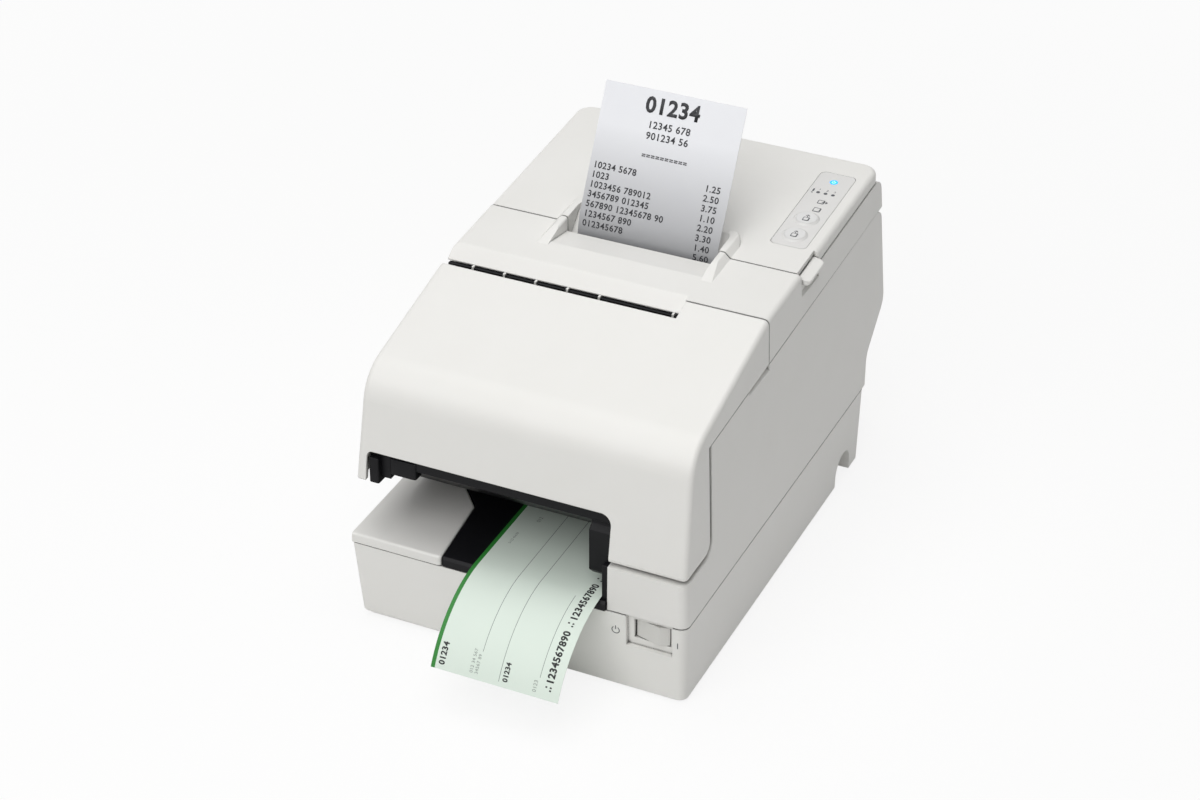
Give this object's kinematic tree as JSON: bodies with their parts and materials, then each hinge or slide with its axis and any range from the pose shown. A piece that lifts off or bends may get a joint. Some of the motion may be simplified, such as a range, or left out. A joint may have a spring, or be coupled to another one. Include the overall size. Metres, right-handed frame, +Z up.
{
  "type": "receipt printer",
  "caption": "Countertop receipt printer with a hinged roll cover, paper cutter and lever, and a front slip station that prints cheques fed in over a side table.",
  "frame": {"origin": "middle of the whole printer with its papers, on the surface it stands on", "axes": "+X to the printer's right, +Y to its rear, +Z up"},
  "size_m": [0.186, 0.3269, 0.236],
  "materials": {
    "case": "fine matte moulded plastic",
    "rocker": "satin moulded plastic",
    "button": "satin moulded plastic",
    "panel": "satin printed sheet",
    "lamp": "clear lens",
    "black_plastic": "satin black plastic",
    "rubber": "matte rubber",
    "sheet_steel": "zinc plated sheet",
    "bright_steel": "ground steel",
    "motor": "black painted metal",
    "gear": "natural gear plastic",
    "bush": "sintered metal",
    "head": "glazed plate",
    "sink": "extruded",
    "board": "lacquered board",
    "paper": "smooth thermal paper",
    "form_paper": "uncoated paper",
    "core": "card tube"
  },
  "bodies": {
    "base": {"lower_case": "case", "rubber_feet": "rubber", "switch_bezel": "case", "slip_table": "case", "slip_bed": "black_plastic", "main_case": "case", "front_hinge_pins": "bright_steel", "mid_cover": "case", "roll_hinge_pins": "bright_steel", "main_frame": "sheet_steel", "roll_holder": "black_plastic", "head_springs": "bright_steel", "cutter_frame": "sheet_steel", "feed_motor": "motor", "slip_shaft_bushes": "bush", "slip_motor": "motor", "upper_slip_guide": "black_plastic", "carriage_frame": "sheet_steel", "carriage_rod": "bright_steel", "timing_belt": "rubber", "carriage_motor": "motor", "ribbon_cassette": "black_plastic", "main_board": "board", "interface_sockets": "black_plastic", "connector_panel": "sheet_steel"},
    "roll_lid": {"roll_cover": "case", "operation_panel": "panel", "panel_lamps": "lamp", "panel_board": "board", "platen_bracket": "sheet_steel", "platen_bushes": "bush", "fixed_blade": "bright_steel", "receipt_paper": "paper"},
    "hood": {"front_cover": "case"},
    "lever": {"cover_lever": "case"},
    "rocker": {"power_switch": "rocker"},
    "receipt_button": {"receipt_feed_button": "button"},
    "slip_button": {"slip_feed_button": "button"},
    "platen": {"platen_shaft": "bright_steel", "platen_rubber": "rubber", "platen_gear": "gear"},
    "idler": {"feed_idler": "gear"},
    "motor_pinion": {"feed_pinion": "gear"},
    "thermal_unit": {"thermal_head": "head", "head_heat_sink": "sink"},
    "roll": {"paper_roll": "paper", "paper_core": "core"},
    "moving_blade": {"cutter_blade": "bright_steel"},
    "carriage": {"head_carriage": "black_plastic", "print_head": "motor"},
    "drive_wheel": {"drive_pulley": "gear"},
    "idle_wheel": {"idle_pulley": "gear"},
    "slip_drive": {"slip_drive_shaft": "bright_steel", "slip_drive_rollers": "rubber", "slip_drive_gear": "gear"},
    "slip_pinch": {"slip_pinch_rollers": "rubber"},
    "slip_pinion": {"slip_motor_pinion": "gear"},
    "tension_knob": {"ribbon_knob": "black_plastic"},
    "form": {"slip_form": "form_paper"}
  },
  "joints": [
    {"name": "roll_cover_hinge", "type": "hinge", "parent": "base", "child": "roll_lid", "pos_m": [0, 0.14575, 0.1535], "axis": [-1, 0, 0], "range_deg": [0, 75]},
    {"name": "lever_hinge", "type": "hinge", "parent": "roll_lid", "child": "lever", "pos_m": [0.084, 0.05875, 0.1656], "axis": [-1, 0, 0], "range_deg": [0, 8], "stiffness_Nm_per_rad": 0.06, "springref_deg": -8.59},
    {"name": "front_cover_hinge", "type": "hinge", "parent": "base", "child": "hood", "pos_m": [0.07, -0.10835, 0.0786], "axis": [1, 0, 0], "range_deg": [0, 80]},
    {"name": "switch_rocker", "type": "hinge", "parent": "base", "child": "rocker", "pos_m": [0.074, -0.10825, 0.039], "axis": [0, 0, 1], "range_deg": [-8, 8]},
    {"name": "receipt_button_press", "type": "slide", "parent": "roll_lid", "child": "receipt_button", "axis": [0, 0, -1], "range_m": [0, 0.0006], "stiffness_N_per_m": 400, "springref_m": -0.001},
    {"name": "slip_button_press", "type": "slide", "parent": "roll_lid", "child": "slip_button", "axis": [0, 0, -1], "range_m": [0, 0.0006], "stiffness_N_per_m": 400, "springref_m": -0.001},
    {"name": "platen_spin", "type": "hinge", "parent": "roll_lid", "child": "platen", "pos_m": [0, 0.04405, 0.147], "axis": [1, 0, 0], "continuous": true},
    {"name": "idler_spin", "type": "hinge", "parent": "base", "child": "idler", "pos_m": [0.0504, 0.04405, 0.1302], "axis": [1, 0, 0], "continuous": true},
    {"name": "pinion_spin", "type": "hinge", "parent": "base", "child": "motor_pinion", "pos_m": [0.0504, 0.03055, 0.1202], "axis": [1, 0, 0], "continuous": true},
    {"name": "head_press", "type": "slide", "parent": "base", "child": "thermal_unit", "axis": [0, -1, 0], "range_m": [0, 0.001], "stiffness_N_per_m": 2000, "springref_m": -0.003, "deforming": ["head_springs"]},
    {"name": "roll_spin", "type": "hinge", "parent": "base", "child": "roll", "pos_m": [0, 0.09325, 0.1068], "axis": [1, 0, 0], "continuous": true},
    {"name": "cutter_stroke", "type": "slide", "parent": "base", "child": "moving_blade", "axis": [0, 1, 0], "range_m": [0, 0.008]},
    {"name": "carriage_travel", "type": "slide", "parent": "base", "child": "carriage", "axis": [1, 0, 0], "range_m": [-0.052, 0.032]},
    {"name": "drive_pulley_spin", "type": "hinge", "parent": "base", "child": "drive_wheel", "pos_m": [0.036, -0.07875, 0.1135], "axis": [0, 0, 1], "continuous": true},
    {"name": "idle_pulley_spin", "type": "hinge", "parent": "base", "child": "idle_wheel", "pos_m": [-0.074, -0.07875, 0.1135], "axis": [0, 0, 1], "continuous": true},
    {"name": "slip_drive_spin", "type": "hinge", "parent": "base", "child": "slip_drive", "pos_m": [0, -0.04475, 0.04595], "axis": [1, 0, 0], "continuous": true},
    {"name": "slip_pinch_spin", "type": "hinge", "parent": "base", "child": "slip_pinch", "pos_m": [0, -0.04475, 0.05845], "axis": [1, 0, 0], "continuous": true},
    {"name": "slip_pinion_spin", "type": "hinge", "parent": "base", "child": "slip_pinion", "pos_m": [0.048, -0.04475, 0.03315], "axis": [1, 0, 0], "continuous": true},
    {"name": "ribbon_knob_spin", "type": "hinge", "parent": "base", "child": "tension_knob", "pos_m": [0.008, -0.06875, 0.137], "axis": [0, 0, 1], "continuous": true},
    {"name": "slip_form_feed", "type": "slide", "parent": "base", "child": "form", "axis": [0, -1, 0], "range_m": [0, 0.08]}
  ],
  "couplings": [
    {"joint": "idler_spin", "follows": "platen_spin", "ratio": -0.5},
    {"joint": "pinion_spin", "follows": "platen_spin", "ratio": 1},
    {"joint": "drive_pulley_spin", "follows": "carriage_travel", "rad_per_m": -181.82},
    {"joint": "idle_pulley_spin", "follows": "carriage_travel", "rad_per_m": -181.82},
    {"joint": "slip_pinch_spin", "follows": "slip_drive_spin", "ratio": -1.5217},
    {"joint": "slip_pinion_spin", "follows": "slip_drive_spin", "ratio": -1.2857}
  ]
}
